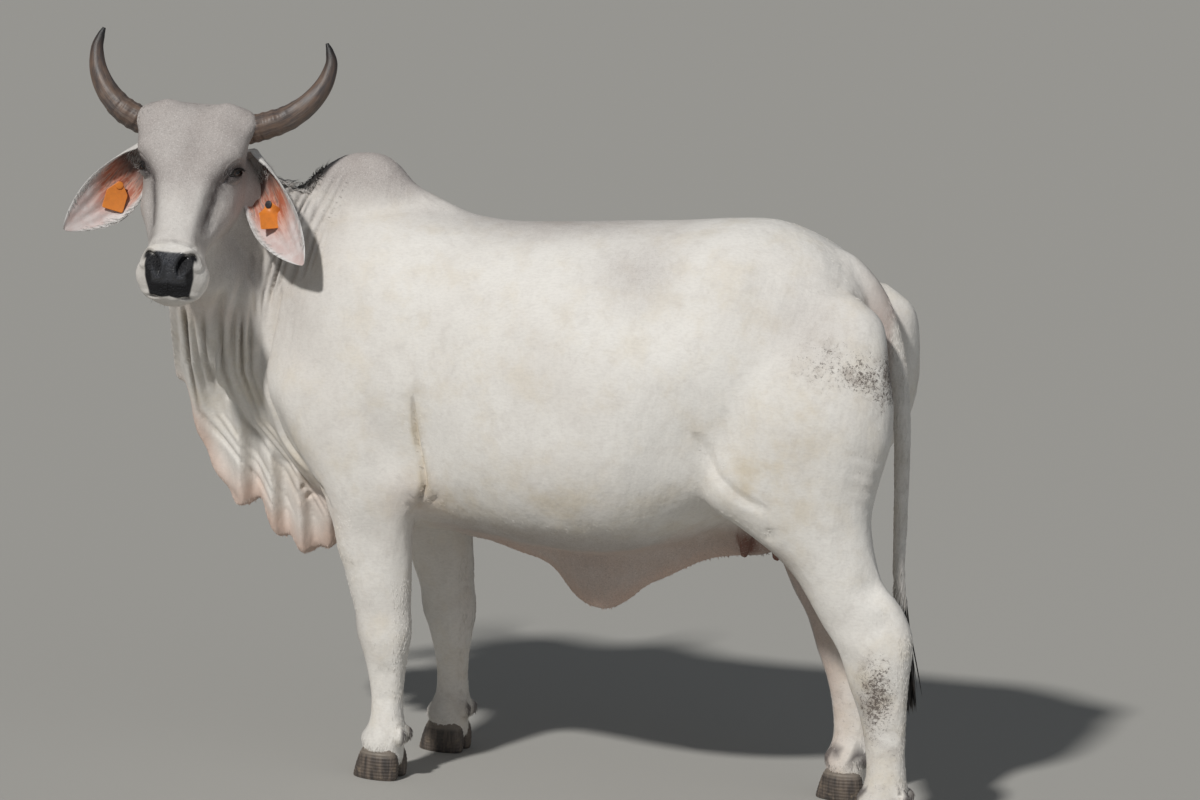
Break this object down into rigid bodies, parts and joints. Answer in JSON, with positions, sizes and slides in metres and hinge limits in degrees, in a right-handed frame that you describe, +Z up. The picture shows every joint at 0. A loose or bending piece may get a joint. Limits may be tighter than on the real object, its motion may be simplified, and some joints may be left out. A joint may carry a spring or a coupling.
{
  "type": "brahman cattle",
  "caption": "Life-size model of a standing zebu cow with shoulder hump, long hanging dewlap, drooping ears with plain tags and upswept horns.",
  "frame": {"origin": "on the floor, under the middle of the object's box", "axes": "+X towards the tail along the body, +Y towards the cow's right side, +Z up; the head looks towards -Y"},
  "size_m": [2.1374, 0.7967, 1.7672],
  "materials": {
    "hide": "short flat cream-white coat",
    "skin_fold": "loose skin with thin cream coat",
    "udder": "bare soft skin",
    "ear": "pink skin inside, thin coat outside",
    "horn": "grey-brown horn, dull, darker tips",
    "hoof": "dull dark horn",
    "eye": "wet and dark",
    "tag": "flexible orange plastic, bare",
    "switch": "coarse dark hair"
  },
  "bodies": {
    "root": {"torso": "hide", "neck": "hide", "hump": "hide", "head": "hide", "leg_front_left": "hide", "leg_front_right": "hide", "leg_hind_left": "hide", "leg_hind_right": "hide", "tail": "hide", "dewlap": "skin_fold", "navel_flap": "skin_fold", "udder": "udder", "horn_left": "horn", "horn_right": "horn", "hoof_front_left": "hoof", "hoof_front_right": "hoof", "hoof_hind_left": "hoof", "hoof_hind_right": "hoof", "ear_left": "ear", "ear_right": "ear", "eye_left": "eye", "eye_right": "eye", "ear_tag_left": "tag", "ear_tag_right": "tag", "tail_switch": "switch"}
  },
  "joints": []
}
